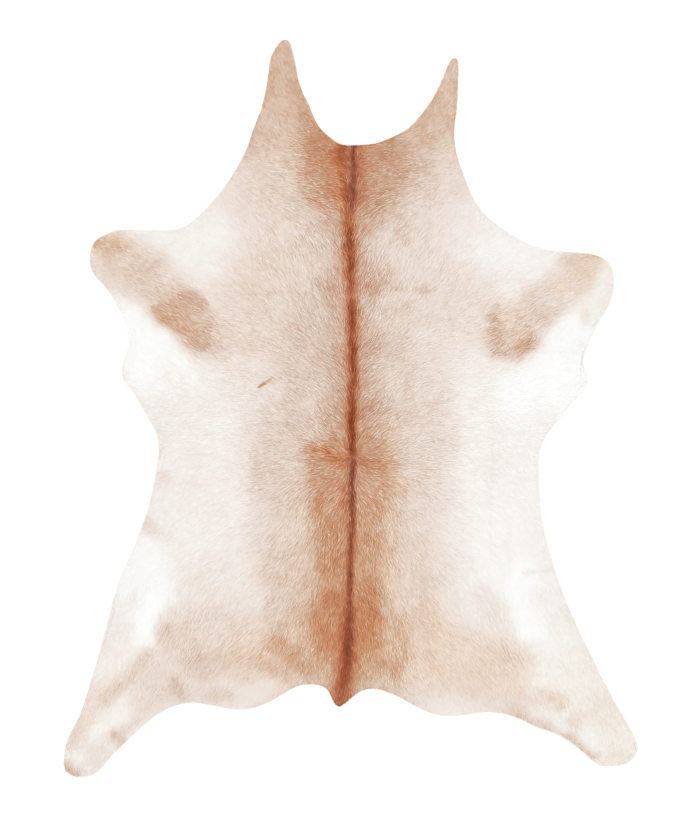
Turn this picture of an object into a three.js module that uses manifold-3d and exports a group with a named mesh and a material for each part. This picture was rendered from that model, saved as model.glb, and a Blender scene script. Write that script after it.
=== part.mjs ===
// A calfskin rug: the whole skin of a calf, tanned with its hair on, trimmed and laid flat, hair side up.
// Millimetres, +Z up. The spine runs along Y with the neck towards +Y, and the flesh side lies on Z = 0.

import * as THREE from 'three';
import { mergeVertices } from 'three/addons/utils/BufferGeometryUtils.js';
import loadManifold from 'manifold-3d';

// Driving dimensions
const LEATHER = 1.8; // the tanned skin alone
const HAIR_OVER_BACK = 3.0; // depth of the lying hair along the back
const HAIR_AT_EDGE = 1.2; // and where the knife trimmed the skin
const EDGE_FADE = 70; // from the edge inwards to the full depth of hair
const PARTING = { depth: 0.9, halfWidth: 9 }; // furrow in the hair along the spine
const WHORL = { y: -60, depth: 0.9, reach: 26 }; // dimple on the back from which the hair grows outwards

// Mesh fineness
const SHEET = { halfWidth: 380, halfLength: 480, columns: 34, rows: 44, evenShare: 0.4 };
const EDGE_STEP = 10;
const CUTTER = { floor: -10, height: 40 };

// The trimmed edge, one row for each pair of places on the two sides, from the neck round to the tail
const NECK_MIDDLE = { x: 2, y: 326 };
const TAIL_END = { x: -14, y: -370 };
const EDGE = [
  { at: 'neck edge', leftX: -12, leftY: 327, rightX: 28, rightY: 328 },
  { at: 'cheek root', leftX: -40, leftY: 350, rightX: 69, rightY: 346 },
  { at: 'cheek inner low', leftX: -52, leftY: 376, rightX: 85, rightY: 362 },
  { at: 'cheek inner middle', leftX: -64, leftY: 402, rightX: 100, rightY: 382 },
  { at: 'cheek inner high', leftX: -70, leftY: 430, rightX: 112, rightY: 404 },
  { at: 'cheek tip inner', leftX: -78, leftY: 456, rightX: 126, rightY: 434 },
  { at: 'cheek tip outer', leftX: -84, leftY: 457, rightX: 131, rightY: 434 },
  { at: 'cheek outer high', leftX: -98, leftY: 437, rightX: 132, rightY: 397 },
  { at: 'cheek outer middle', leftX: -104, leftY: 402, rightX: 131, rightY: 372 },
  { at: 'cheek outer low', leftX: -110, leftY: 375, rightX: 128, rightY: 349 },
  { at: 'neck side high', leftX: -121, leftY: 346, rightX: 129, rightY: 326 },
  { at: 'neck side low', leftX: -132, leftY: 316, rightX: 136, rightY: 299 },
  { at: 'shoulder slope', leftX: -166, leftY: 263, rightX: 161, rightY: 246 },
  { at: 'foreleg root', leftX: -208, leftY: 224, rightX: 214, rightY: 207 },
  { at: 'foreleg front root', leftX: -223, leftY: 220, rightX: 242, rightY: 197 },
  { at: 'foreleg front end', leftX: -293, leftY: 220, rightX: 303, rightY: 190 },
  { at: 'foreleg end front', leftX: -307, leftY: 214, rightX: 316, rightY: 184 },
  { at: 'foreleg end corner', leftX: -319, leftY: 206, rightX: 324, rightY: 173 },
  { at: 'foreleg end back', leftX: -323, leftY: 175, rightX: 324, rightY: 140 },
  { at: 'foreleg back', leftX: -299, leftY: 143, rightX: 302, rightY: 97 },
  { at: 'elbow hollow', leftX: -278, leftY: 100, rightX: 285, rightY: 63 },
  { at: 'elbow hollow back', leftX: -277, leftY: 75, rightX: 286, rightY: 52 },
  { at: 'elbow', leftX: -285, leftY: 43, rightX: 293, rightY: 32 },
  { at: 'belly front', leftX: -266, leftY: 15, rightX: 274, rightY: 7 },
  { at: 'waist front', leftX: -240, leftY: -32, rightX: 238, rightY: -41 },
  { at: 'waist', leftX: -238, leftY: -48, rightX: 233, rightY: -60 },
  { at: 'flank', leftX: -250, leftY: -118, rightX: 237, rightY: -139 },
  { at: 'stifle', leftX: -268, leftY: -169, rightX: 250, rightY: -192 },
  { at: 'thigh', leftX: -288, leftY: -214, rightX: 272, rightY: -252 },
  { at: 'thigh low', leftX: -303, leftY: -269, rightX: 303, rightY: -318 },
  { at: 'hock', leftX: -319, leftY: -326, rightX: 329, rightY: -368 },
  { at: 'shank', leftX: -338, leftY: -384, rightX: 345, rightY: -396 },
  { at: 'foot outer', leftX: -352, leftY: -412, rightX: 354, rightY: -413 },
  { at: 'foot outer corner', leftX: -355.5, leftY: -431, rightX: 356, rightY: -423 },
  { at: 'foot end outer', leftX: -355, leftY: -448, rightX: 352, rightY: -432 },
  { at: 'foot end', leftX: -345, leftY: -456, rightX: 342, rightY: -441 },
  { at: 'foot inner corner', leftX: -320, leftY: -454, rightX: 308, rightY: -443 },
  { at: 'foot inner', leftX: -304, leftY: -438, rightX: 293, rightY: -430 },
  { at: 'hock inner', leftX: -262, leftY: -397, rightX: 262, rightY: -406 },
  { at: 'thigh inner', leftX: -238, leftY: -378, rightX: 230, rightY: -395 },
  { at: 'rump hollow outer', leftX: -216, leftY: -368, rightX: 201, rightY: -382 },
  { at: 'rump hollow', leftX: -197, leftY: -365, rightX: 172, rightY: -377 },
  { at: 'rump lobe', leftX: -137, leftY: -374, rightX: 120, rightY: -382 },
  { at: 'rump lobe inner', leftX: -110, leftY: -368, rightX: 96, rightY: -377 },
  { at: 'tail hollow', leftX: -64, leftY: -344, rightX: 50, rightY: -354 },
  { at: 'tail hollow inner', leftX: -43, leftY: -343, rightX: 29, rightY: -348 },
  { at: 'tail root', leftX: -29, leftY: -349, rightX: 12, rightY: -351 },
  { at: 'tail tip', leftX: -19, leftY: -368, rightX: -9, rightY: -367 },
];

// The line of the backbone, which the calf's own skin keeps a little out of true
const SPINE = [
  { at: 'tail end', y: -370, x: -14 },
  { at: 'rump', y: -305, x: -3 },
  { at: 'whorl', y: -60, x: 1 },
  { at: 'neck', y: 326, x: 6 },
];

// Places where the dried edge lifts off the floor
const EDGE_LIFTS = [
  { at: 'right elbow hollow', x: 286, y: 57, reach: 48, rise: 6 },
  { at: 'right shank', x: 262, y: -407, reach: 52, rise: 5 },
  { at: 'left belly', x: -250, y: -10, reach: 62, rise: 4 },
  { at: 'left foreleg front', x: -232, y: 221, reach: 50, rise: 4 },
  { at: 'neck', x: 4, y: 327, reach: 56, rise: 3 },
  { at: 'left cheek tip', x: -82, y: 457, reach: 60, rise: 4 },
  { at: 'right cheek tip', x: 129, y: 435, reach: 60, rise: 4 },
  { at: 'left hind foot', x: -350, y: -450, reach: 60, rise: 3 },
  { at: 'tail', x: -14, y: -371, reach: 34, rise: 3 },
];

// The trimmed edge as one closed line, with every place of the table on it
function trimmedEdge() {
  const left = EDGE.map((row) => new THREE.Vector3(row.leftX, row.leftY, 0));
  const right = EDGE.map((row) => new THREE.Vector3(row.rightX, row.rightY, 0));
  const neck = new THREE.Vector3(NECK_MIDDLE.x, NECK_MIDDLE.y, 0);
  const tail = new THREE.Vector3(TAIL_END.x, TAIL_END.y, 0);
  const places = [neck, ...left, tail, ...right.reverse()];
  const curve = new THREE.CatmullRomCurve3(places, true, 'centripetal');
  const points = [];
  places.forEach((place, i) => {
    const next = places[(i + 1) % places.length];
    const steps = Math.ceil(place.distanceTo(next) / EDGE_STEP);
    for (let k = 0; k < steps; k += 1) {
      const point = curve.getPoint((i + k / steps) / places.length);
      points.push(new THREE.Vector2(point.x, point.y));
    }
  });
  return points;
}

// Distance from a place on the skin to the trimmed edge
function distanceToEdge(edge, x, y) {
  const place = new THREE.Vector3(x, y, 0);
  const nearest = new THREE.Vector3();
  const side = new THREE.Line3();
  let least = Infinity;
  edge.forEach((point, i) => {
    const next = edge[(i + 1) % edge.length];
    side.start.set(point.x, point.y, 0);
    side.end.set(next.x, next.y, 0);
    side.closestPointToPoint(place, true, nearest);
    least = Math.min(least, nearest.distanceTo(place));
  });
  return least;
}

// Where the backbone runs at a place along the skin
function spineAt(y) {
  const i = THREE.MathUtils.clamp(SPINE.findIndex((row) => row.y > y), 1, SPINE.length - 1);
  const before = SPINE[i - 1];
  const after = SPINE[i];
  const share = THREE.MathUtils.clamp((y - before.y) / (after.y - before.y), 0, 1);
  return THREE.MathUtils.lerp(before.x, after.x, share);
}

// A round swelling that is 1 at its middle and dies away smoothly at its reach
function swelling(distance, reach) {
  const share = Math.min(distance / reach, 1);
  return (1 - share * share) ** 2;
}

// Height of the flesh side over the floor
function liftAt(x, y) {
  const lifts = EDGE_LIFTS.map((row) => row.rise * swelling(Math.hypot(x - row.x, y - row.y), row.reach));
  return Math.max(...lifts);
}

// Depth of skin and lying hair
function depthAt(edge, x, y) {
  const inwards = THREE.MathUtils.smoothstep(distanceToEdge(edge, x, y), 0, EDGE_FADE);
  const hair = THREE.MathUtils.lerp(HAIR_AT_EDGE, HAIR_OVER_BACK, inwards);
  const fromSpine = x - spineAt(y);
  const parting = PARTING.depth * Math.exp(-((fromSpine / PARTING.halfWidth) ** 2));
  const whorl = WHORL.depth * swelling(Math.hypot(fromSpine, y - WHORL.y), WHORL.reach);
  return LEATHER + hair - Math.max(parting, whorl) * inwards;
}

// The untrimmed sheet: its columns follow the backbone and crowd towards it, where the hair parts
function untrimmedSheet(edge) {
  const sheet = new THREE.BoxGeometry(2, 2, 1, SHEET.columns, SHEET.rows, 1);
  sheet.deleteAttribute('normal');
  sheet.deleteAttribute('uv');
  const places = sheet.getAttribute('position');
  for (let i = 0; i < places.count; i += 1) {
    const across = places.getX(i);
    const spread = THREE.MathUtils.lerp(across * Math.abs(across), across, SHEET.evenShare);
    const y = places.getY(i) * SHEET.halfLength;
    const x = spineAt(y) + spread * SHEET.halfWidth;
    const onHairSide = places.getZ(i) > 0;
    const z = liftAt(x, y) + (onHairSide ? depthAt(edge, x, y) : 0);
    places.setXYZ(i, x, y, z);
  }
  return mergeVertices(sheet);
}

// The knife's path, stood up through the sheet
function trimmingCutter(edge) {
  const cutter = new THREE.ExtrudeGeometry(new THREE.Shape(edge), { depth: CUTTER.height, bevelEnabled: false });
  cutter.translate(0, 0, CUTTER.floor);
  cutter.deleteAttribute('normal');
  cutter.deleteAttribute('uv');
  return mergeVertices(cutter);
}

const wasm = await loadManifold();
wasm.setup();

function toSolid(geometry) {
  const vertProperties = new Float32Array(geometry.getAttribute('position').array);
  const triVerts = new Uint32Array(geometry.index.array);
  return new wasm.Manifold(new wasm.Mesh({ numProp: 3, vertProperties, triVerts }));
}

function toGeometry(solid) {
  const mesh = solid.getMesh();
  const geometry = new THREE.BufferGeometry();
  geometry.setAttribute('position', new THREE.BufferAttribute(mesh.vertProperties, 3));
  geometry.setIndex(new THREE.BufferAttribute(mesh.triVerts, 1));
  geometry.computeVertexNormals();
  return geometry;
}

const edge = trimmedEdge();
const skin = toSolid(untrimmedSheet(edge)).intersect(toSolid(trimmingCutter(edge)));
const hide = new THREE.MeshStandardMaterial({ color: 0xe3d2c3, roughness: 0.8, metalness: 0 });
const calfskin = new THREE.Mesh(toGeometry(skin), hide);
calfskin.name = 'calfskin';

const rug = new THREE.Group();
rug.add(calfskin);

export default rug;
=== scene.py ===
# A calfskin rug: the whole skin of a calf, tanned with its hair on, trimmed and laid flat, hair up.
# The scene is in metres with +Z up; sizes on the skin are in millimetres. The neck is towards +Y.
import bmesh
import bpy
import numpy as np
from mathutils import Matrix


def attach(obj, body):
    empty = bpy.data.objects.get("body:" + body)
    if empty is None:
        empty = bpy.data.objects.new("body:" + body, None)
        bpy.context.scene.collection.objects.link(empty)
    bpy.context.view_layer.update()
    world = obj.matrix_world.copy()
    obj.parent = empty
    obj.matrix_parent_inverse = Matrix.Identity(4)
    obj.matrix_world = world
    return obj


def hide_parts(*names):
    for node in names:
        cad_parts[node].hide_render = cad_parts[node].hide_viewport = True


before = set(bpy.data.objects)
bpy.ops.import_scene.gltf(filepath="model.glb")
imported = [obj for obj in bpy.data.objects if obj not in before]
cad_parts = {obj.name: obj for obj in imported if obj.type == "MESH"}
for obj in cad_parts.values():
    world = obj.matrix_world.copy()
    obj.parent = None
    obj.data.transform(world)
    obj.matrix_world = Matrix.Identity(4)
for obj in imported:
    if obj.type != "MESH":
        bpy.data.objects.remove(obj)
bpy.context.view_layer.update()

# The skin
# One tanned calf's skin about 1.8 mm thick, cut round with a knife and dried flat. Its flesh side
# lies on the floor, buffed to a suede, and its grain side is hidden by the hair that grows out of it.
MM = 0.001
HAIR_AT_EDGE = 1.2
HAIR_OVER_BACK = 3.0
EDGE_FADE = 70.0
# A face is on the hair side when the upward part of its normal is more than this
FACES_UP = 0.5
WELD = 0.001
SHARP_ANGLE = 40.0
FIELD_STEP = 3.0
FIELD_MARGIN = 20.0
CLOUD_SIZE = 45.0
NAP_SIZE = 1.2
NAP_DEPTH = 0.3


def edge_of(mesh):
    """The trimmed edge on the hair side, as pairs of places in millimetres."""
    sides = []
    for edge in mesh.edges:
        facing = sorted(face.normal.z for face in edge.link_faces)
        if facing[-1] > FACES_UP and abs(facing[0]) < FACES_UP:
            sides.append([[end.co.x / MM, end.co.y / MM] for end in edge.verts])
    return np.array(sides)


def distance_from_line(x, y, x0, y0, x1, y1):
    """How far places lie from a straight line between two ends."""
    run, rise = x1 - x0, y1 - y0
    share = np.clip(((x - x0) * run + (y - y0) * rise) / (run * run + rise * rise), 0, 1)
    return np.hypot(x - x0 - share * run, y - y0 - share * rise)


def distance_field(sides):
    """How far each place of a grid over the skin lies inside the trimmed edge, below 0 outside it."""
    low = sides.min(axis=(0, 1)) - FIELD_MARGIN
    high = sides.max(axis=(0, 1)) + FIELD_MARGIN
    across = np.arange(low[0], high[0], FIELD_STEP)
    along = np.arange(low[1], high[1], FIELD_STEP)
    x, y = np.meshgrid(across, along, indexing="ij")
    least = np.full(x.shape, np.inf)
    inside = np.zeros(x.shape, bool)
    for (x0, y0), (x1, y1) in sides:
        least = np.minimum(least, distance_from_line(x, y, x0, y0, x1, y1))
        crosses = (y0 > y) != (y1 > y)
        inside ^= crosses & (x < x0 + (y - y0) / ((y1 - y0) or 1) * (x1 - x0))
    return low, np.where(inside, least, -least)


def between_places(grid, column, row, next_column, next_row, across, along):
    """The value of a grid at a share across and a share along from one place of it to the next."""
    near = grid[column, row] * (1 - across) + grid[next_column, row] * across
    far = grid[column, next_row] * (1 - across) + grid[next_column, next_row] * across
    return near * (1 - along) + far * along


def inside_edge(x, y):
    """How far places on the skin lie inside the trimmed edge."""
    across, along = (x - field_low[0]) / FIELD_STEP, (y - field_low[1]) / FIELD_STEP
    column = np.clip(across.astype(int), 0, field.shape[0] - 2)
    row = np.clip(along.astype(int), 0, field.shape[1] - 2)
    return between_places(field, column, row, column + 1, row + 1, across - column, along - row)


def smooth(share):
    """Eases a share from 0 to 1 at both ends."""
    return share * share * (3 - 2 * share)


def hair_depth(inside):
    """Depth of the lying hair, which thins out towards the edge."""
    share = np.clip(inside / EDGE_FADE, 0, 1)
    return HAIR_AT_EDGE + (HAIR_OVER_BACK - HAIR_AT_EDGE) * smooth(share)


def depth_at(corner):
    """Depth of the hair at a corner of a mesh."""
    inside = inside_edge(np.array([corner.co.x / MM]), np.array([corner.co.y / MM]))[0]
    return hair_depth(max(inside, 0.0))


def colour(code):
    """An sRGB hex code as linear red, green and blue, with full alpha."""
    parts = [int(code[i:i + 2], 16) / 255 for i in (0, 2, 4)]
    return [c / 12.92 if c <= 0.04045 else ((c + 0.055) / 1.055) ** 2.4 for c in parts] + [1.0]


def add_node(material, kind, settings, inputs):
    """Adds a node with its settings, and fills its inputs with values or with other nodes' outputs."""
    node = material.node_tree.nodes.new(kind)
    for name, value in settings.items():
        setattr(node, name, value)
    for name, value in inputs.items():
        if isinstance(value, bpy.types.NodeSocket):
            material.node_tree.links.new(value, node.inputs[name])
        else:
            node.inputs[name].default_value = value
    return node


def new_material(name):
    """An empty node material."""
    material = bpy.data.materials.new(name)
    material.use_nodes = True
    material.node_tree.nodes.clear()
    return material


# Calf leather, tanned and buffed to a suede on the flesh side: dull, with a short nap and a cloudy
# cream colour. The nap is drawn 1.2 mm wide, coarser than real, so that it shows.
suede = new_material("buffed_calf_suede")
place = add_node(suede, "ShaderNodeTexCoord", {}, {})
clouds = add_node(suede, "ShaderNodeTexNoise", {}, {
    "Vector": place.outputs["Object"], "Scale": 1 / (CLOUD_SIZE * MM), "Detail": 4.0})
nap = add_node(suede, "ShaderNodeTexNoise", {}, {
    "Vector": place.outputs["Object"], "Scale": 1 / (NAP_SIZE * MM), "Detail": 6.0})
tint = add_node(suede, "ShaderNodeValToRGB", {}, {"Fac": clouds.outputs["Fac"]})
tint.color_ramp.elements[0].position = 0.3
tint.color_ramp.elements[0].color = colour("d2c2a8")
tint.color_ramp.elements[1].position = 0.7
tint.color_ramp.elements[1].color = colour("e6dac5")
bump = add_node(suede, "ShaderNodeBump", {}, {
    "Height": nap.outputs["Fac"], "Strength": 0.5, "Distance": NAP_DEPTH * MM})
shader = add_node(suede, "ShaderNodeBsdfPrincipled", {}, {
    "Base Color": tint.outputs["Color"], "Normal": bump.outputs["Normal"],
    "Roughness": 0.92, "Specular IOR Level": 0.2})
add_node(suede, "ShaderNodeOutputMaterial", {}, {"Surface": shader.outputs["BSDF"]})

skin_mesh = bmesh.new()
skin_mesh.from_mesh(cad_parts["calfskin"].data)
bmesh.ops.remove_doubles(skin_mesh, verts=skin_mesh.verts, dist=WELD * MM)
skin_mesh.normal_update()
rim = edge_of(skin_mesh)
field_low, field = distance_field(rim)

hair_side = [face for face in skin_mesh.faces if face.normal.z > FACES_UP]
corners = np.array([[corner.co / MM for corner in face.verts] for face in hair_side])
face_sides = corners[:, 1:] - corners[:, :1]
face_normals = np.cross(face_sides[:, 0], face_sides[:, 1])
face_areas = np.abs(face_normals[:, 2]) / 2
coat_mesh = skin_mesh.copy()
for corner in {corner for face in hair_side for corner in face.verts}:
    corner.co.z -= depth_at(corner) * MM
data = bpy.data.meshes.new("skin")
skin_mesh.to_mesh(data)
skin_mesh.free()
data.shade_smooth()
data.set_sharp_from_angle(angle=np.radians(SHARP_ANGLE))
data.materials.clear()
data.materials.append(suede)
skin = bpy.data.objects.new("skin", data)
bpy.context.scene.collection.objects.link(skin)
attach(skin, "root")
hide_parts("calfskin")

# The undercoat
# The dense hair of a roan calf, grown out of the skin, as one closed sheet just under the tips: cream
# and white mixed with tan, a russet saddle with a dark line along the backbone, tan patches on the
# shoulders and rump, and white behind the legs. The pigment is in the hair as it grew.
UNDERCOAT_DEPTH = (0.25, 0.9)
# Tone runs from 0, white hair, to 1, the darkest of the backbone. Hair lies loosest from this tone on.
LOOSE_TONE = 0.3
GROUND_TONE = 0.075
GROUND_GOLD = 0.38
SADDLE_FADE = 18.0
STRIPE_FALL = 0.8
# Painted shade along the cut edge: the tone grows by this share there, fading over this many mm
PAINTED_CUT_SHADE = 0.18
PAINTED_CUT_SHADE_REACH = 1.5
FADE_STEEPNESS = 3.0
FADE_END = 30.0
# The unevenness repeats after this many lumps, and the middle of the skin is this many from its start
LATTICE = 64
LATTICE_START = 1000
# Unevenness of the markings: how much, in lumps of what size, and from what seed
WANDER_ACROSS = [(5.0, 38.0, 1), (2.5, 13.0, 2)]
WANDER_ALONG = [(5.0, 38.0, 3), (2.5, 13.0, 4)]
STRIPE_WANDER = [(1.5, 12.0, 5)]
ROAN = [(0.1, 24.0, 6), (0.1, 10.0, 7)]
SPINE = [
    # y, x of the backbone, stripe tone and half width, saddle tone and its reach to the left and right
    (-372, -14, 0.70, 11.0, 0.52, 18, 12),
    (-345, -9, 0.84, 10.0, 0.39, 22, 30),
    (-310, -5, 0.91, 8.0, 0.50, 41, 44),
    (-280, -3, 0.91, 8.5, 0.54, 46, 44),
    (-240, -2, 0.85, 4.5, 0.55, 48, 38),
    (-210, -1, 0.89, 4.5, 0.51, 46, 40),
    (-180, 0, 0.86, 4.0, 0.49, 50, 46),
    (-150, 1, 0.88, 4.0, 0.45, 49, 33),
    (-100, 2, 0.89, 4.8, 0.43, 48, 53),
    (-60, 2, 0.91, 6.0, 0.46, 54, 57),
    (-40, 1, 0.97, 6.5, 0.42, 48, 42),
    (-25, 1, 0.98, 6.0, 0.42, 36, 46),
    (0, 1, 0.92, 6.5, 0.43, 30, 36),
    (30, 2, 0.84, 7.0, 0.40, 28, 32),
    (60, 2, 0.88, 7.5, 0.38, 26, 30),
    (90, 2, 0.85, 7.5, 0.36, 28, 36),
    (115, 1, 0.92, 8.5, 0.33, 23, 30),
    (132, 0, 0.86, 7.5, 0.34, 28, 24),
    (140, 0, 0.66, 7.5, 0.34, 28, 24),
    (148, 0, 0.80, 7.0, 0.34, 28, 24),
    (180, -1, 0.86, 7.5, 0.36, 26, 24),
    (210, -2, 0.91, 7.0, 0.37, 32, 28),
    (228, -3, 0.86, 8.0, 0.42, 38, 38),
    (240, -3, 0.77, 6.5, 0.42, 40, 46),
    (255, 2, 0.82, 5.5, 0.43, 58, 58),
    (290, 3, 0.90, 4.8, 0.49, 66, 60),
    (330, 3, 0.86, 3.2, 0.51, 62, 58),
    (372, 3, 0.86, 3.2, 0.42, 50, 48),
]
SPINE_X, STRIPE_TONE, STRIPE_HALF, SADDLE_TONE, REACH_LEFT, REACH_RIGHT = range(1, 7)
PATCHES = [
    # where, from x and y, to x and y, half width, fade, tone; later ones lie over earlier ones
    ("right side", 190, 40, 195, -330, 66, 30, 0.055),
    ("left side", -165, 60, -160, -200, 42, 30, 0.085),
    ("neck and withers", 0, 330, 0, 170, 112, 45, 0.17),
    ("right barrel", 100, 120, 110, -330, 34, 30, 0.115),
    ("right of the barrel", 98, 15, 98, -80, 18, 22, 0.205),
    ("right belly", 172, 60, 170, -75, 24, 24, 0.08),
    ("barrel", -12, 240, -12, -330, 110, 32, 0.185),
    ("middle of the barrel", -6, 100, -6, -330, 78, 26, 0.235),
    ("pale right of the backbone", 56, 30, 62, 10, 12, 14, 0.195),
    ("left of the barrel", -98, -30, -98, -95, 22, 22, 0.23),
    ("left loin", -97, -180, -97, -330, 20, 20, 0.24),
    ("right loin", 86, -190, 88, -262, 16, 18, 0.22),
    ("left of the withers", -75, 105, -42, 82, 14, 18, 0.275),
    ("left of the withers, upper", -60, 232, -62, 205, 16, 16, 0.235),
    ("right of the withers, upper", 58, 236, 62, 214, 13, 13, 0.255),
    ("right of the withers, pale", 58, 190, 66, 174, 15, 13, 0.145),
    ("right of the withers, lower", 56, 146, 64, 130, 14, 12, 0.275),
    ("left flank", -180, -222, -140, -238, 32, 24, 0.12),
    ("right flank", 164, -232, 182, -258, 14, 13, 0.125),
    ("left shoulder", -110, 150, -125, 85, 46, 34, 0.20),
    ("pale below the left shoulder", -140, 52, -112, 50, 9, 12, 0.12),
    ("right shoulder", 95, 150, 140, 120, 42, 34, 0.165),
    ("left cheek", -86, 450, -94, 345, 45, 22, 0.305),
    ("left cheek tip", -82, 452, -86, 420, 18, 14, 0.285),
    ("left cheek, low", -112, 345, -122, 310, 26, 22, 0.275),
    ("left cheek, inside", -66, 400, -50, 350, 9, 14, 0.40),
    ("left side of the neck", -100, 330, -92, 270, 24, 24, 0.235),
    ("left side of the neck, outside", -138, 290, -138, 240, 22, 22, 0.175),
    ("right cheek", 128, 430, 112, 350, 32, 22, 0.275),
    ("right cheek, inside", 101, 382, 84, 352, 7, 10, 0.36),
    ("right side of the neck", 82, 325, 82, 298, 24, 22, 0.295),
    ("right side of the neck, outside", 124, 315, 136, 275, 15, 18, 0.18),
    ("left breast", -212, 203, -165, 216, 20, 20, 0.07),
    ("right breast", 240, 196, 190, 200, 20, 20, 0.05),
    ("left armpit", -264, 98, -238, 45, 36, 12, 0.025),
    ("left armpit, inwards", -225, 45, -200, 40, 16, 14, 0.04),
    ("left foreleg", -300, 184, -215, 138, 25, 16, 0.21),
    ("left foreleg, upper", -280, 197, -250, 184, 15, 12, 0.23),
    ("left foreleg end", -312, 205, -284, 204, 9, 10, 0.325),
    ("left foreleg rim", -318, 184, -311, 158, 11, 10, 0.145),
    ("left shoulder shade", -184, 112, -168, 86, 18, 18, 0.28),
    ("left shoulder patch", -224, 121, -190, 84, 16, 12, 0.35),
    ("left shoulder patch, tip", -245, 125, -232, 115, 7, 9, 0.36),
    ("left shoulder patch, upper", -211, 136, -188, 134, 8, 9, 0.365),
    ("left shoulder patch, middle", -236, 112, -212, 92, 6, 10, 0.415),
    ("left shoulder patch, lower", -196, 90, -186, 76, 7, 11, 0.36),
    ("left armpit spot", -226, 37, -224, 33, 4, 5, 0.07),
    ("right armpit", 274, 88, 268, 30, 35, 12, 0.02),
    ("right armpit, inwards", 232, 30, 205, 10, 22, 18, 0.022),
    ("right foreleg", 296, 165, 232, 138, 19, 13, 0.20),
    ("right foreleg, inwards", 264, 156, 240, 120, 14, 13, 0.175),
    ("right foreleg end", 300, 188, 266, 186, 9, 10, 0.25),
    ("right shoulder patch, upper", 186, 116, 234, 113, 14, 13, 0.235),
    ("right shoulder patch, lower", 182, 90, 214, 90, 15, 13, 0.27),
    ("right shoulder patch, spot", 178, 110, 184, 104, 5, 6, 0.37),
    ("right shoulder patch, inner", 180, 92, 185, 74, 7, 9, 0.37),
    ("right shoulder patch, dark", 205, 71, 222, 88, 5, 7, 0.43),
    ("right shoulder patch, foot", 182, 66, 204, 65, 7, 9, 0.295),
    ("right foreleg rim", 319, 168, 306, 126, 8, 9, 0.065),
    ("right foreleg spot", 291, 118, 292, 110, 6, 6, 0.115),
    ("left belly", -215, 0, -215, -60, 30, 25, 0.082),
    ("left flank spot", -237, -84, -236, -92, 7, 7, 0.14),
    ("left stifle spot", -256, -140, -250, -147, 9, 6, 0.15),
    ("left stifle streak", -240, -152, -228, -160, 5, 6, 0.11),
    ("left thigh white", -270, -194, -252, -236, 36, 10, 0.035),
    ("left rump", -200, -290, -120, -302, 46, 18, 0.185),
    ("left thigh streak", -247, -245, -259, -287, 14, 8, 0.02),
    ("left thigh spot", -271, -233, -275, -244, 7, 7, 0.085),
    ("left thigh outside", -296, -275, -318, -340, 18, 10, 0.085),
    ("left hock", -244, -322, -258, -368, 19, 13, 0.165),
    ("left rump spot", -230, -276, -222, -284, 11, 11, 0.26),
    ("left rump, low", -185, -312, -145, -318, 18, 20, 0.235),
    ("left rump brown", -86, -292, -76, -306, 15, 14, 0.42),
    ("left rump tan", -74, -250, -68, -286, 11, 12, 0.29),
    ("left rump tan, low", -106, -318, -92, -328, 12, 12, 0.29),
    ("left rump brown, low", -68, -320, -56, -322, 8, 10, 0.39),
    ("left rump, lower edge", -238, -360, -178, -352, 13, 10, 0.17),
    ("left rump pale edge", -140, -366, -104, -350, 11, 10, 0.10),
    ("left rump edge spot", -168, -358, -152, -360, 8, 8, 0.20),
    ("left rump hollow", -218, -340, -214, -352, 8, 8, 0.26),
    ("left shank outside", -320, -355, -338, -395, 14, 10, 0.125),
    ("left shank streak", -256, -308, -304, -360, 9, 9, 0.21),
    ("left shank white", -290, -378, -318, -404, 11, 8, 0.06),
    ("left shank, lower edge", -258, -378, -282, -402, 5, 6, 0.17),
    ("left shank spot", -296, -408, -286, -418, 8, 7, 0.24),
    ("left foot", -342, -402, -344, -415, 13, 8, 0.185),
    ("left foot, sole side", -318, -428, -312, -440, 12, 9, 0.12),
    ("left foot white", -348, -429, -334, -432, 5, 6, 0.055),
    ("left toe", -352, -445, -340, -450, 10, 7, 0.245),
    ("right rump", 110, -305, 178, -326, 44, 22, 0.19),
    ("right of the croup", 94, -252, 102, -270, 14, 14, 0.25),
    ("right rump, low", 165, -358, 215, -366, 14, 12, 0.165),
    ("right thigh white", 214, -210, 226, -272, 22, 10, 0.022),
    ("right thigh", 240, -232, 262, -290, 12, 10, 0.06),
    # a darker line along a crease: painted shade in the crease
    ("right thigh crease", 218, -205, 253, -202.5, 1.6, 3, 0.12),
    ("right hock spot", 240, -356, 260, -362, 9, 9, 0.19),
    ("right shank spot", 280, -386, 284, -392, 8, 7, 0.14),
    ("right shank", 298, -370, 325, -390, 16, 12, 0.09),
    ("right shank white", 290, -400, 304, -428, 8, 7, 0.05),
    ("right hock edge", 200, -378, 244, -392, 8, 7, 0.20),
    ("right shank edge", 240, -398, 272, -408, 6, 6, 0.20),
    ("right shank edge, low", 272, -410, 300, -434, 5, 7, 0.24),
    ("right foot", 328, -428, 336, -436, 12, 9, 0.10),
]
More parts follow.
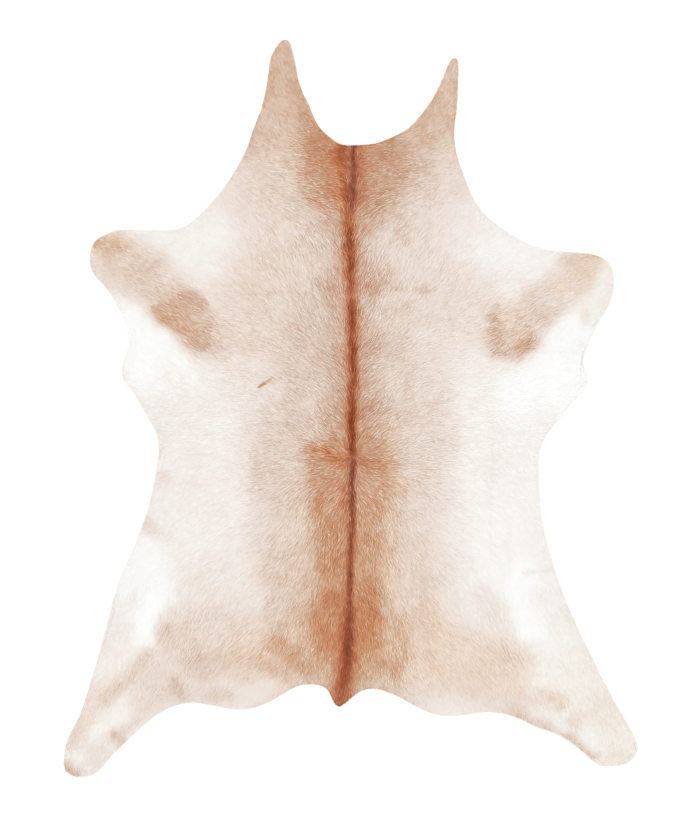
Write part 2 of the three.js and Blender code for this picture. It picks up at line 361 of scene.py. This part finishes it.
MARKS = [
    # laid over the saddle and under the stripe, with the same columns
    ("russet of the neck", -10, 326, -9, 248, 6, 8, 0.77),
    ("russet left of the neck", -26, 318, -24, 272, 7, 11, 0.59),
    ("russet right of the neck", 13, 320, 12, 260, 5, 9, 0.66),
    ("saddle left of the whorl", -46, -50, -46, -90, 8, 10, 0.49),
    ("saddle left of the loin", -34, -118, -34, -150, 10, 12, 0.48),
    ("pale right of the neck", 48, 318, 46, 280, 15, 14, 0.415),
    ("pale right of the loin", 29, -106, 28, -165, 10, 12, 0.425),
    ("tan right of the rump", 34, -272, 36, -290, 6, 10, 0.54),
    ("russet of the whorl", -30, -57, -12, -64, 8, 10, 0.60),
    ("tan right of the whorl", 17, -10, 19, -34, 8, 10, 0.49),
    ("russet right of the whorl", 10, -58, 16, -66, 5, 8, 0.64),
    ("russet below the whorl", -9, -75, -8, -112, 5, 8, 0.63),
    ("russet along the loin", -8, -120, -8, -205, 4, 7, 0.58),
    ("brown left of the backbone", -36, 151, -22, 150, 5, 8, 0.37),
    ("brown right of the backbone", 20, 168, 38, 158, 10, 12, 0.36),
    # darker lines along old folds: painted shade in their creases
    ("old fold, right", 40, 146, 98, 145, 2.0, 5, 0.27),
    ("old fold, left", -134, 144, -36, 144, 1.2, 4, 0.25),
    ("smudge right of the backbone", 24, 146, 33, 146, 4, 6, 0.48),
    ("brown by the rump", 22, -238, 30, -260, 8, 10, 0.57),
    ("tan by the rump", 58, -272, 66, -312, 11, 12, 0.335),
    ("tan by the tail", 34, -314, 56, -328, 9, 10, 0.44),
    # a darker line along an old fold: painted shade in its crease
    ("old fold below the whorl", -14, -108, 42, -110, 0.8, 1.6, 0.36),
]
NICK = [
    # a healed nick where the hair parts, with the same columns; its darker tone is painted shade in the
    # parting
    ("deep end", -113.6, 26.9, -108, 30.8, 0.95, 1.8, 0.56),
    ("shallow end", -108, 30.8, -98, 38.5, 0.6, 1.6, 0.42),
]
GOLD = [
    # where the hair is more golden, towards 1, or greyer, towards 0, with the same columns
    ("neck", 0, 320, 0, 280, 52, 24, 0.7),
    ("withers, wide", 0, 240, 0, 20, 95, 40, 0.32),
    ("withers", 0, 232, 0, 45, 34, 24, 0.25),
    ("left barrel", -112, -5, -110, -150, 16, 20, 0.18),
    ("right barrel", 110, 40, 110, -110, 16, 20, 0.28),
    ("left shoulder", -165, 165, -190, 40, 30, 30, 0.42),
    ("left thigh", -265, -190, -250, -235, 26, 20, 0.08),
    ("loin", -15, -135, -10, -250, 58, 36, 0.72),
    ("loin, right of the backbone", 40, -112, 42, -235, 14, 18, 0.95),
    ("rump", -120, -305, 195, -318, 34, 26, 0.88),
    ("croup", -18, -268, 52, -280, 26, 22, 1.0),
    ("whorl", -28, -52, -12, -60, 12, 10, 0.88),
    ("right of the whorl", 40, -30, 48, -100, 14, 16, 0.85),
    ("right of the croup", 94, -250, 102, -275, 16, 16, 0.95),
    ("left cheek", -86, 450, -74, 335, 48, 26, 0.64),
    ("right cheek", 128, 430, 104, 345, 36, 26, 0.64),
    ("russet of the neck", -13, 326, -11, 250, 8, 8, 1.0),
    ("right of the neck", 16, 326, 14, 278, 10, 12, 0.7),
    ("line of the neck", 4, 330, 3, 250, 3, 5, 0.15),
    ("left foreleg", -306, 196, -262, 168, 22, 18, 0.6),
    ("left foreleg end", -312, 205, -284, 204, 10, 10, 0.95),
    ("left shoulder patch", -232, 124, -200, 104, 18, 14, 0.74),
    ("right shoulder patch", 186, 112, 200, 92, 22, 16, 0.72),
    ("right foreleg", 304, 178, 268, 158, 22, 18, 0.84),
    ("left shank", -290, -310, -334, -380, 26, 22, 0.66),
    ("right shank", 270, -325, 335, -415, 40, 26, 0.86),
    ("backbone of the withers", -1, 232, 2, -45, 8, 8, 0.72),
    ("backbone of the loin", 3, -75, -3, -335, 5, 6, 0.4),
    ("backbone below the whorl", 3, -66, 2, -120, 4, 6, 0.0),
    ("left rump brown", -86, -292, -76, -306, 15, 14, 1.0),
    # the nick is greyer: painted shade in its parting
    ("nick", -115, 26, -99, 37, 2, 2, 0.0),
]
# How much lighter or darker plain, bright and dull hair is drawn, more or less than one: painted sheen
# on the bright, painted shade on the dull; and the tone at which most of that shows
PAINTED_LIGHT_STEPS = np.array([0.0, 0.205, -0.15])
PAINTED_LIGHT_TONE = 0.23
# Shares of the flat map: its margin, the steps of painted sheen and shade and of gold, and half a lock's
# size
MAP_MARGIN = 0.01
MAP_PAINTED_LIGHT = 0.33
MAP_GOLD = 0.28
MAP_HALF_WIDTH = 0.003
MAP_HALF_LENGTH = 0.01


def lumps(x, y, size, seed):
    """Smooth unevenness from -1 to 1, in lumps of a size in millimetres."""
    lattice = np.random.default_rng(seed).uniform(-1, 1, (LATTICE, LATTICE))
    across, along = x / size + LATTICE_START, y / size + LATTICE_START
    column, row = np.floor(across).astype(int), np.floor(along).astype(int)
    places = [place % LATTICE for place in (column, row, column + 1, row + 1)]
    return between_places(lattice, *places, smooth(across - column), smooth(along - row))


def uneven(x, y, rows):
    """Several kinds of lumps together."""
    return sum(much * lumps(x, y, size, seed) for much, size, seed in rows)


def soft_edge(outside, fade):
    """1 well inside a marking, a half on its edge and 0 well outside it."""
    return 1 / (1 + np.exp(np.clip(FADE_STEEPNESS * outside / fade, -FADE_END, FADE_END)))


def with_patches(tone, x, y, patches):
    """Lays soft patches over a tone, each round a short line."""
    for _, x0, y0, x1, y1, half, fade, shade in patches:
        outside = distance_from_line(x, y, x0, y0, x1, y1) - half
        tone = tone + (shade - tone) * soft_edge(outside, fade)
    return tone


def along_skin(table, column, y):
    """A column of a table whose rows run along the skin, at places between them."""
    return np.interp(y, [row[0] for row in table], [row[column] for row in table])


def coat_tone(x, y):
    """The tone of the coat, with the uneven edges of a grown marking."""
    across = x + uneven(x, y, WANDER_ACROSS)
    along = y + uneven(x, y, WANDER_ALONG)
    tone = with_patches(np.full(x.shape, GROUND_TONE), across, along, PATCHES)
    spine_x = along_skin(SPINE, SPINE_X, y)
    from_spine = across - spine_x
    left, right = along_skin(SPINE, REACH_LEFT, y), along_skin(SPINE, REACH_RIGHT, y)
    in_saddle = soft_edge(np.abs(from_spine) - np.where(from_spine < 0, left, right), SADDLE_FADE)
    tone = tone + (along_skin(SPINE, SADDLE_TONE, y) - tone) * in_saddle
    tone = with_patches(tone, across, along, MARKS) * (1 + uneven(x, y, ROAN))
    from_line = (x + uneven(x, y, STRIPE_WANDER) - spine_x) / along_skin(SPINE, STRIPE_HALF, y)
    on_line = np.exp(-STRIPE_FALL * from_line ** 2)
    tone = tone + (along_skin(SPINE, STRIPE_TONE, y) - tone) * on_line
    # The nick's darker tone is painted shade in its parting
    tone = with_patches(tone, x, y, NICK)
    # Painted shade along the cut edge
    in_painted_cut_shade = np.exp(-np.maximum(inside_edge(x, y), 0) / PAINTED_CUT_SHADE_REACH)
    return tone * (1 + PAINTED_CUT_SHADE * in_painted_cut_shade)


def coat_gold(x, y):
    """How golden the coat is."""
    return with_patches(np.full(x.shape, GROUND_GOLD), x, y, GOLD)


def loose(tone, least, most):
    """White hair lies sleek and dark hair lies looser, from a least to a most."""
    return least + (most - least) * np.clip(tone / LOOSE_TONE, 0, 1)


def undercoat_depth(places):
    """How far the dense hair lies below the top of the coat, at corners of a mesh."""
    across, along, _ = np.array([corner.co for corner in places]).T / MM
    return loose(coat_tone(across, along), *UNDERCOAT_DEPTH)


# Clean calf hair, grown and brushed flat: each hair is a smooth tapered thread, so the coat has a
# soft silky sheen along its lie. The tones are those of one pigment, from none to dark russet.
TONES = [
    # tone, then the greyer and the more golden hair of that tone
    (0.0, "f0f0f1", "f1f0ef"),
    (0.03, "eaeae9", "ebeae7"),
    (0.06, "e8e6e3", "e9e6de"),
    (0.10, "e4ddda", "e7ddd3"),
    (0.18, "dfd3cc", "e6d3c2"),
    (0.25, "d7c7bc", "dfc7b1"),
    (0.33, "d2b6a5", "d7b69b"),
    (0.48, "c69c81", "cc9c76"),
    (0.64, "bb7d60", "c57d54"),
    (0.79, "9c5d45", "ac5d38"),
    (1.0, "72341d", "833411"),
]
hair = new_material("silky_calf_hair")
tone_of_hair = add_node(hair, "ShaderNodeAttribute", {"attribute_name": "tone"}, {})
gold_of_hair = add_node(hair, "ShaderNodeAttribute", {"attribute_name": "gold"}, {})
ramps = []
for column in (1, 2):
    ramp = add_node(hair, "ShaderNodeValToRGB", {}, {"Fac": tone_of_hair.outputs["Fac"]})
    while len(ramp.color_ramp.elements) < len(TONES):
        ramp.color_ramp.elements.new(0.5)
    for stop, row in zip(ramp.color_ramp.elements, TONES):
        stop.position = row[0]
        stop.color = colour(row[column])
    ramps.append(ramp.outputs["Color"])
blend = add_node(hair, "ShaderNodeMixRGB", {}, {
    "Fac": gold_of_hair.outputs["Fac"], "Color1": ramps[0], "Color2": ramps[1]})
# The colour is multiplied by the shade: painted sheen on bright locks and painted shade on dull ones
painted_light_of_hair = add_node(hair, "ShaderNodeAttribute", {"attribute_name": "shade"}, {})
lit = add_node(hair, "ShaderNodeMixRGB", {"blend_type": "MULTIPLY"}, {
    "Fac": 1.0, "Color1": blend.outputs["Color"], "Color2": painted_light_of_hair.outputs["Color"]})
shader = add_node(hair, "ShaderNodeBsdfPrincipled", {}, {
    "Base Color": lit.outputs["Color"], "Roughness": 0.55, "Specular IOR Level": 0.15})
add_node(hair, "ShaderNodeOutputMaterial", {}, {"Surface": shader.outputs["BSDF"]})


def hair_piece(name, data, tones, gold, painted_light):
    """A piece of the coat. Its flat map has tone across, and painted sheen and shade, and gold, along."""
    # A shade above one is painted sheen, and a shade below one is painted shade
    shade = 1 + PAINTED_LIGHT_STEPS[painted_light] * (1 - np.exp(-(tones / PAINTED_LIGHT_TONE) ** 2))
    for look, values in (("tone", tones), ("gold", gold), ("shade", shade)):
        data.attributes.new(look, "FLOAT", "POINT").data.foreach_set("value", values)
    ends = np.zeros(len(data.loops), int)
    data.loops.foreach_get("vertex_index", ends)
    across = MAP_MARGIN + (1 - 2 * MAP_MARGIN) * tones[ends]
    across += np.resize([-MAP_HALF_WIDTH, 0, MAP_HALF_WIDTH, 0], len(ends))
    along = 0.5 + MAP_PAINTED_LIGHT * painted_light[ends] + MAP_GOLD * (gold[ends] - 0.5)
    along += np.resize([0, -MAP_HALF_LENGTH, 0, MAP_HALF_LENGTH], len(ends))
    data.uv_layers.new(name="OFBake").data.foreach_set("uv", np.stack([across, along], 1).ravel())
    data.shade_smooth()
    data.materials.clear()
    data.materials.append(hair)
    piece = bpy.data.objects.new(name, data)
    bpy.context.scene.collection.objects.link(piece)
    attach(piece, "root")
    return piece


for face in [face for face in coat_mesh.faces if face.normal.z <= FACES_UP]:
    coat_mesh.faces.remove(face)
bare_edges = [edge for edge in coat_mesh.edges if not edge.link_faces]
bmesh.ops.delete(coat_mesh, geom=bare_edges, context="EDGES")
bare_corners = [corner for corner in coat_mesh.verts if not corner.link_faces]
bmesh.ops.delete(coat_mesh, geom=bare_corners, context="VERTS")
bmesh.ops.subdivide_edges(coat_mesh, edges=coat_mesh.edges[:], cuts=1, use_grid_fill=True)
for corner, depth in zip(coat_mesh.verts, undercoat_depth(coat_mesh.verts)):
    corner.co.z -= depth * MM
brim = [edge for edge in coat_mesh.edges if edge.is_boundary]
# The hem closes the edge of the sheet, down to the leather
upper = dict.fromkeys(corner for edge in brim for corner in edge.verts)
hem = {corner: coat_mesh.verts.new(corner.co) for corner in upper}
for corner, depth in zip(hem.values(), undercoat_depth(hem.values())):
    corner.co.z -= (HAIR_AT_EDGE - depth) * MM
for edge in brim:
    start = edge.link_loops[0].vert
    end = edge.other_vert(start)
    coat_mesh.faces.new((end, start, hem[start], hem[end]))
data = bpy.data.meshes.new("undercoat")
coat_mesh.to_mesh(data)
coat_mesh.free()
spots = np.zeros(3 * len(data.vertices))
data.vertices.foreach_get("co", spots)
across, along, _ = spots.reshape(-1, 3).T / MM
plain = np.zeros(len(across), int)
coat = [hair_piece("undercoat", data, coat_tone(across, along), coat_gold(across, along), plain)]

# The locks
# Calf hair 5 to 10 mm long, grown out of the skin and lying close to it, away from a whorl on the
# back. Each blade is a lock of a few dozen hairs, drawn wider than a hair so that it shows. Pale
# bright locks lie on top with painted sheen, each with a dark dull lock at its side: painted shade
# of the gap there.
LOCKS_PER_SQUARE_MM = 1.15
LOCK_SEED = 7
LOCK_LENGTH = (5.0, 9.5)
LOCK_WIDTH = (0.45, 0.85)
OVERHANG = 1.2
# Shares of a lock's length: its spread, the shortest at the edge, its widest place, its bend, and
# the place whose marking it shows
LENGTH_SPREAD = (0.75, 1.15)
SHORTEST = 0.2
WIDEST_AT = 0.45
BEND = 0.05
SEEN_SHARE = 0.65
# For white hair and for dark hair: the roll of a lock in degrees, and how far down it may lie
ROLL = (4.0, 24.0)
LAYER = (0.1, 0.75)
# How far a root sinks into the undercoat, and the share of its layer that a tip may stand above the coat
ROOT_SINK = 0.05
TIP_RISE = 0.2
# The share of places that start a pair, picked along strips, and how a pair lies; the dark one is painted
# shade
PAIR_SHARE = 0.13
STRIP_WIDTH = 2.5
BESIDE = 1.0
PALE_LIFT = 0.15
DARK_LIFT = 0.08
PAIR_LAYER = 0.25
# How much the tones of neighbours differ, at most, and the tone at which most of that shows
TONE_MIX = 0.075
TONE_MIX_MOST = 0.06
TONE_MIX_TONE = 0.24
OWN_SPREAD = 0.5
# The share of the paired locks given painted sheen when pale and painted shade when dark, least at the edge
PAINTED_LIGHT_SHARE = 0.8
PAINTED_LIGHT_AT_EDGE = 0.55
PAINTED_LIGHT_FADE = 50.0
# Unevenness of the hair: how much, in lumps of what size, and from what seed
LIE_WANDER = [(12.0, 9.0, 8), (11.0, 3.5, 9)]
RUFFLES = [(0.5, 14.0, 10)]
TUFTS = [(0.21, 3.0, 11)]
TUFT_TONE_MOST = 0.4
# More ruffled hair gets more mixed tones and more locks with painted sheen and painted shade
RUFFLED = [
    # where the hair is more ruffled, above 1, or sleeker, below 1, with the columns of the markings
    ("middle of the back", 0, 55, 0, -50, 100, 36, 1.2),
    ("withers", 0, 300, 0, 80, 40, 30, 1.25),
    ("left of the withers", -68, 190, -68, 100, 20, 20, 0.9),
    ("right barrel", 106, -30, 108, -185, 18, 16, 1.3),
    ("croup", -34, -262, -30, -300, 50, 30, 0.7),
    ("left cheek", -90, 420, -104, 290, 28, 20, 0.85),
    ("right cheek", 120, 420, 104, 300, 26, 20, 0.85),
    ("line of the neck", 3, 330, 3, 270, 5, 6, 0.5),
    ("left foreleg", -300, 190, -220, 145, 26, 16, 0.75),
    ("left shoulder patch", -235, 120, -195, 78, 16, 12, 1.25),
    ("right foreleg", 250, 170, 215, 80, 20, 14, 1.2),
    ("left belly", -195, 30, -195, -170, 30, 20, 0.35),
    ("right belly", 186, 20, 190, -90, 30, 20, 0.45),
    ("left flank", -142, -185, -142, -240, 20, 20, 1.2),
    ("right flank", 136, -230, 196, -300, 30, 22, 1.5),
    ("left hem", -240, -366, -105, -352, 16, 12, 1.5),
    ("right hem", 80, -352, 300, -420, 16, 12, 1.6),
]
LIE = [
    # y, then the turn of the tips from outwards towards the neck, in degrees, at the three columns
    (-370, -78, -50, -65),
    (-288, -80, -40, -60),
    (-239, -67, -45, -70),
    (-189, -75, -30, -33),
    (-139, -72, -20, -35),
    (-90, -30, -16, -40),
    (-40, 30, 2, -20),
    (10, 43, 5, 0),
    (59, 28, 10, 40),
    (109, 60, 15, 30),
    (159, 66, 50, 25),
    (208, 55, 50, 25),
    (258, 15, 35, 65),
    (308, 3, 15, 60),
    (345, 20, 60, 68),
    (460, 70, 72, 70),
]
LIE_COLUMNS = (45.0, 125.0, 200.0)
LIE_SPREAD = 8.0
SPINE_TURN = 85.0
SPINE_REACH = 10.0
WHORL_Y = -60.0
WHORL_RADIUS = 14.0
WHORL_SPREAD = 60.0
# The hair parts along the nick, this far to each side and turned this way, dull inside: painted shade
NICK_PARTING = 2.5
NICK_TURN = -34.0
NICK_PAINTED_SHADE_FROM = 0.2
REGIONS = [
    # piece, lowest y, side of the backbone
    ("hair_neck", 215, 0),
    ("hair_left_shoulder", 40, -1),
    ("hair_right_shoulder", 40, 1),
    ("hair_left_side", -190, -1),
    ("hair_right_side", -190, 1),
    ("hair_left_haunch", -500, -1),
    ("hair_right_haunch", -500, 1),
]
rng = np.random.default_rng(LOCK_SEED)


def places_on_skin():
    """Random places on the hair side, evenly spread, with the height of the hair's top and its slopes."""
    count = rng.poisson(face_areas * LOCKS_PER_SQUARE_MM)
    face = np.repeat(np.arange(len(corners)), count)
    shares = rng.random((2, len(face), 1))
    shares = np.where(shares.sum(axis=0) > 1, 1 - shares, shares)
    places = corners[face, 0] + shares[0] * face_sides[face, 0] + shares[1] * face_sides[face, 1]
    slopes = -face_normals[face, :2] / face_normals[face, 2:]
    return np.concatenate([places.T, slopes.T])


def lie_of_hair(x, y):
    """The way the tips point, as an angle from +X."""
    out = x - along_skin(SPINE, SPINE_X, y)
    distance = np.abs(out)
    inner, middle, outer = [along_skin(LIE, column, y) for column in (1, 2, 3)]
    steps = zip(LIE_COLUMNS, LIE_COLUMNS[1:])
    first, second = [np.clip((distance - near) / (far - near), 0, 1) for near, far in steps]
    turn = inner + (middle - inner) * first + (outer - middle) * second
    along_spine = np.where(y > WHORL_Y, SPINE_TURN, -SPINE_TURN)
    turn = turn + (along_spine - turn) * np.exp(-(distance / SPINE_REACH) ** 2)
    whorl = np.exp(-(distance ** 2 + (y - WHORL_Y) ** 2) / WHORL_RADIUS ** 2)
    turn = turn + WHORL_SPREAD * whorl * rng.standard_normal(len(x))
    turn = with_patches(turn, x, y, [(*part[:5], NICK_PARTING, NICK_PARTING, NICK_TURN) for part in NICK])
    turn = turn + uneven(x, y, LIE_WANDER) + LIE_SPREAD * rng.standard_normal(len(x))
    return np.where(out < 0, np.pi - np.radians(turn), np.radians(turn))


def length_of_locks(x, y, way, inside):
    """Shorter locks towards the edge, and none that hangs far over it."""
    length = LOCK_LENGTH[0] + (LOCK_LENGTH[1] - LOCK_LENGTH[0]) * np.clip(inside / EDGE_FADE, 0, 1)
    length = length * rng.uniform(*LENGTH_SPREAD, len(x))
    beyond = inside_edge(x + length * np.cos(way), y + length * np.sin(way))
    over = OVERHANG * rng.random(len(x))
    too_long = beyond < -over
    fits = (inside + over) / np.where(too_long, inside - beyond, 1)
    return length * np.where(too_long, np.clip(fits, SHORTEST, 1), 1)


def tone_of_locks(tone, inside, ruffled, shade):
    """Each lock's tone and painted light from its shade: 1 pale, painted sheen; -1 dark, painted shade; or
    0.
    """
    mix = np.minimum(TONE_MIX * (1 - np.exp(-(tone / TONE_MIX_TONE) ** 2)), TONE_MIX_MOST) * ruffled
    own = OWN_SPREAD * rng.standard_normal(len(tone)) - shade
    share = PAINTED_LIGHT_AT_EDGE + (1 - PAINTED_LIGHT_AT_EDGE) * np.clip(inside / PAINTED_LIGHT_FADE, 0, 1)
    gets_painted_light = rng.random(len(tone)) < PAINTED_LIGHT_SHARE * ruffled * share
    return np.clip(tone + mix * own, 0.0, 1.0), np.where(gets_painted_light, shade, 0)


def evenly_picked(x, y, share):
    """Pairs of neighbouring places, picked more evenly than by chance along strips of the skin."""
    order = np.lexsort((y, np.floor(x / STRIP_WIDTH)))
    first = np.flatnonzero(np.diff(np.floor(np.arange(len(x)) * share)))
    return order[first], order[first + 1]


def locks(places):
    """Four corners for each lock, a blade pointed at root and tip, with its tone and its painted light."""
    pale, dark = evenly_picked(*places[:2], PAIR_SHARE)
    places[:, dark] = places[:, pale]
    x, y, top, slope_x, slope_y = places
    way = lie_of_hair(x, y)
    x[dark] -= BESIDE * np.sin(way[dark])
    y[dark] += BESIDE * np.cos(way[dark])
    inside = np.maximum(inside_edge(x, y), 0)
    length = length_of_locks(x, y, way, inside)
    width = rng.uniform(*LOCK_WIDTH, len(x))
    bend = rng.normal(0, BEND, len(x)) * length
    seen = SEEN_SHARE * length
    seen_x, seen_y = x + seen * np.cos(way), y + seen * np.sin(way)
    # Shade 1 marks a pale lock with painted sheen, and -1 its dark partner, painted shade at its side
    shade = np.zeros(len(x), int)
    shade[pale] = 1
    shade[dark] = -1
    # Dull locks inside the nick: painted shade in its parting
    shade[with_patches(np.zeros(len(x)), seen_x, seen_y, NICK) > NICK_PAINTED_SHADE_FROM] = -1
    tone = coat_tone(seen_x, seen_y)
    tone = tone + np.minimum(tone, TUFT_TONE_MOST) * uneven(seen_x, seen_y, TUFTS)
    roll = np.radians(loose(tone, *ROLL)) * rng.standard_normal(len(x))
    root = top - loose(tone, *UNDERCOAT_DEPTH) - ROOT_SINK
    climb = length * (slope_x * np.cos(way) + slope_y * np.sin(way))
    top = top + loose(tone, 0, 1) * np.array([0, PALE_LIFT, DARK_LIFT])[shade]
    layer = loose(tone, *LAYER) * np.where(shade == 0, 1, PAIR_LAYER)
    middle = top + WIDEST_AT * climb - layer * rng.uniform(0.0, 1.0, len(x))
    tip = top + climb - layer * rng.uniform(-TIP_RISE, 1.0, len(x))
    forward = np.stack([np.cos(way), np.sin(way), np.zeros(len(x))], 1)
    sideways = np.stack([-np.sin(way) * np.cos(roll), np.cos(way) * np.cos(roll), np.sin(roll)], 1)
    base = np.stack([x, y, root], 1)
    half = base + forward * (WIDEST_AT * length)[:, None] + sideways * bend[:, None]
    half[:, 2] = middle
    end = base + forward * length[:, None]
    end[:, 2] = tip
    wide = sideways * (0.5 * width)[:, None]
    # Ruffled hair: more tone mix, and more locks with painted sheen and painted shade
    ruffled = with_patches(np.ones(len(x)), x, y, RUFFLED) * (1 + uneven(x, y, RUFFLES))
    return np.stack([half - wide, base, half + wide, end], 1), *tone_of_locks(tone, inside, ruffled, shade)


def lock_mesh(name, blades):
    """One joined mesh of locks."""
    count = len(blades)
    data = bpy.data.meshes.new(name)
    data.vertices.add(4 * count)
    data.vertices.foreach_set("co", (blades * MM).ravel())
    data.loops.add(4 * count)
    data.loops.foreach_set("vertex_index", np.arange(4 * count))
    data.polygons.add(count)
    data.polygons.foreach_set("loop_start", 4 * np.arange(count))
    data.update()
    return data


blades, tones, painted_light = locks(places_on_skin())
root_x, root_y = blades[:, 1, :2].T
gold = coat_gold(root_x, root_y)
side = np.where(root_x < along_skin(SPINE, SPINE_X, root_y), -1, 1)
left_over = np.ones(len(root_x), bool)
for name, lowest, which in REGIONS:
    here = left_over & (root_y > lowest) & ((side == which) | (which == 0))
    looks = [np.repeat(part, 4) for part in (tones[here], gold[here], painted_light[here])]
    coat.append(hair_piece(name, lock_mesh(name, blades[here]), *looks))
    left_over &= ~here

# The floor, the light and the camera
# A plain floor painted white, standing in a white light tent with one soft key light overhead, and
# a camera straight above the skin with a sharp film.
FRAME_WIDTH, FRAME_HEIGHT = 700, 816
SKIN_LENGTH = 915.0
SKIN_PIXELS = 736.5
MIDDLE_PIXEL = (350.5, 407.75)
SENSOR = 36.0
LENS = 85.0
SHARP_FILTER = 1.2
FLOOR_GAP = 0.2
# In metres and watts
FLOOR_SIZE = 30.0
SOFTBOX_SIZE = 4.0
SOFTBOX_POWER = 58.0
SOFTBOX_PLACE = (-0.4, 0.6, 4.0)
FARTHEST_SEEN = 100.0

# Matt emulsion, rolled on: even and white, with no shine to show the light.
paint = new_material("rolled_matt_paint")
shader = add_node(paint, "ShaderNodeBsdfPrincipled", {}, {
    "Base Color": colour("fafafa"), "Roughness": 0.9, "Specular IOR Level": 0.1})
add_node(paint, "ShaderNodeOutputMaterial", {}, {"Surface": shader.outputs["BSDF"]})
bpy.ops.mesh.primitive_plane_add(size=FLOOR_SIZE)
floor = bpy.context.object
floor.name = "floor"
floor.location.z = -FLOOR_GAP * MM
floor.data.materials.append(paint)

scene = bpy.context.scene
scene.view_settings.view_transform = "Standard"
scene.cycles.filter_width = SHARP_FILTER
scene.world = bpy.data.worlds.new("light_tent")
scene.world.use_nodes = True
tent = scene.world.node_tree.nodes["Background"]
tent.inputs["Color"].default_value = colour("ffffff")
tent.inputs["Strength"].default_value = 1.0

softbox = bpy.data.objects.new("softbox", bpy.data.lights.new("softbox", "AREA"))
softbox.data.size = SOFTBOX_SIZE
softbox.data.energy = SOFTBOX_POWER
softbox.location = SOFTBOX_PLACE
scene.collection.objects.link(softbox)

camera = bpy.data.objects.new("camera", bpy.data.cameras.new("camera"))
camera.data.lens = LENS
camera.data.sensor_width = SENSOR
camera.data.clip_end = FARTHEST_SEEN
pixel = SKIN_LENGTH / SKIN_PIXELS * MM
camera.location = (
    ((FRAME_WIDTH - 1) / 2 - MIDDLE_PIXEL[0]) * pixel,
    (MIDDLE_PIXEL[1] - (FRAME_HEIGHT - 1) / 2) * pixel,
    FRAME_HEIGHT * pixel * LENS / SENSOR + HAIR_OVER_BACK * MM,
)
scene.collection.objects.link(camera)
scene.camera = camera
